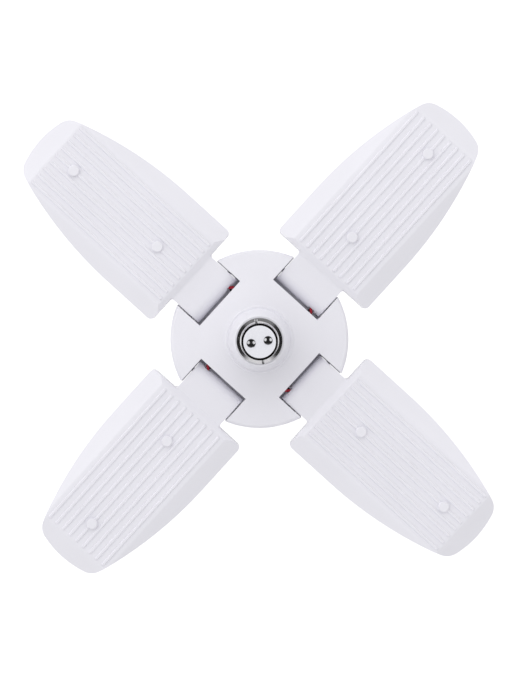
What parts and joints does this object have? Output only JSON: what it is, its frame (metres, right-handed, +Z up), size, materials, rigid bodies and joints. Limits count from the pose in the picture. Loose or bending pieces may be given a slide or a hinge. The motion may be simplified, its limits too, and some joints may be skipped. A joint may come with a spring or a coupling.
{
  "type": "folding garage light",
  "caption": "Ceiling light with a bayonet cap on a round hub and long ribbed LED blades that fold down on hinges round it.",
  "frame": {"origin": "centre of the bayonet cap's top edge, where its straight wall ends: the point that its lamp holder locates", "axes": "+Z up along the cap's axis, out of its contact end; +X along blade 1, +Y along blade 2, -X along blade 3, -Y along blade 4"},
  "size_m": [0.3712, 0.3712, 0.0804],
  "materials": {
    "white_housing": "satin",
    "cap_metal": "satin",
    "cap_insulator": "satin",
    "contact_metal": "gloss",
    "pin_metal": "satin",
    "screw_steel": "satin",
    "driver_laminate": "satin",
    "capacitor_sleeve": "gloss",
    "coil_tape": "satin",
    "film_case": "gloss",
    "chip_black": "matte",
    "resistor_body": "satin",
    "socket_nylon": "satin",
    "lead_brown": "satin",
    "lead_blue": "satin",
    "lead_red": "satin",
    "lead_black": "satin",
    "board_aluminium": "satin",
    "led_package": "gloss",
    "milky_diffuser": "satin"
  },
  "bodies": {
    "hub": {"cap_shell": "cap_metal", "cap_insulator": "cap_insulator", "cap_contacts": "contact_metal", "bayonet_pins": "pin_metal", "hub_housing": "white_housing", "hub_cover": "white_housing", "cover_screws": "screw_steel", "driver_board": "driver_laminate", "driver_screws": "screw_steel", "bulk_capacitor": "capacitor_sleeve", "transformer_coil": "coil_tape", "film_capacitor": "film_case", "driver_chips": "chip_black", "fuse_resistor": "resistor_body", "output_sockets": "socket_nylon", "live_lead": "lead_brown", "neutral_lead": "lead_blue", "hinge_pins_1": "pin_metal", "hinge_pins_2": "pin_metal", "hinge_pins_3": "pin_metal", "hinge_pins_4": "pin_metal"},
    "blade_1": {"back_shell_1": "white_housing", "neck_cover_1": "white_housing", "led_board_1": "board_aluminium", "leds_1": "led_package", "diffuser_1": "milky_diffuser", "board_screws_1": "screw_steel", "neck_screws_1": "screw_steel", "red_lead_1": "lead_red", "black_lead_1": "lead_black"},
    "blade_2": {"back_shell_2": "white_housing", "neck_cover_2": "white_housing", "led_board_2": "board_aluminium", "leds_2": "led_package", "diffuser_2": "milky_diffuser", "board_screws_2": "screw_steel", "neck_screws_2": "screw_steel", "red_lead_2": "lead_red", "black_lead_2": "lead_black"},
    "blade_3": {"back_shell_3": "white_housing", "neck_cover_3": "white_housing", "led_board_3": "board_aluminium", "leds_3": "led_package", "diffuser_3": "milky_diffuser", "board_screws_3": "screw_steel", "neck_screws_3": "screw_steel", "red_lead_3": "lead_red", "black_lead_3": "lead_black"},
    "blade_4": {"back_shell_4": "white_housing", "neck_cover_4": "white_housing", "led_board_4": "board_aluminium", "leds_4": "led_package", "diffuser_4": "milky_diffuser", "board_screws_4": "screw_steel", "neck_screws_4": "screw_steel", "red_lead_4": "lead_red", "black_lead_4": "lead_black"}
  },
  "joints": [
    {"name": "fold_1", "type": "hinge", "parent": "hub", "child": "blade_1", "pos_m": [0.0424, 0, -0.06378], "axis": [0, 1, 0], "range_deg": [0, 90], "deforming": ["red_lead_1", "black_lead_1"]},
    {"name": "fold_2", "type": "hinge", "parent": "hub", "child": "blade_2", "pos_m": [0, 0.0424, -0.06378], "axis": [-1, 0, 0], "range_deg": [0, 90], "deforming": ["red_lead_2", "black_lead_2"]},
    {"name": "fold_3", "type": "hinge", "parent": "hub", "child": "blade_3", "pos_m": [-0.0424, 0, -0.06378], "axis": [0, -1, 0], "range_deg": [0, 90], "deforming": ["red_lead_3", "black_lead_3"]},
    {"name": "fold_4", "type": "hinge", "parent": "hub", "child": "blade_4", "pos_m": [0, -0.0424, -0.06378], "axis": [1, 0, 0], "range_deg": [0, 90], "deforming": ["red_lead_4", "black_lead_4"]}
  ]
}
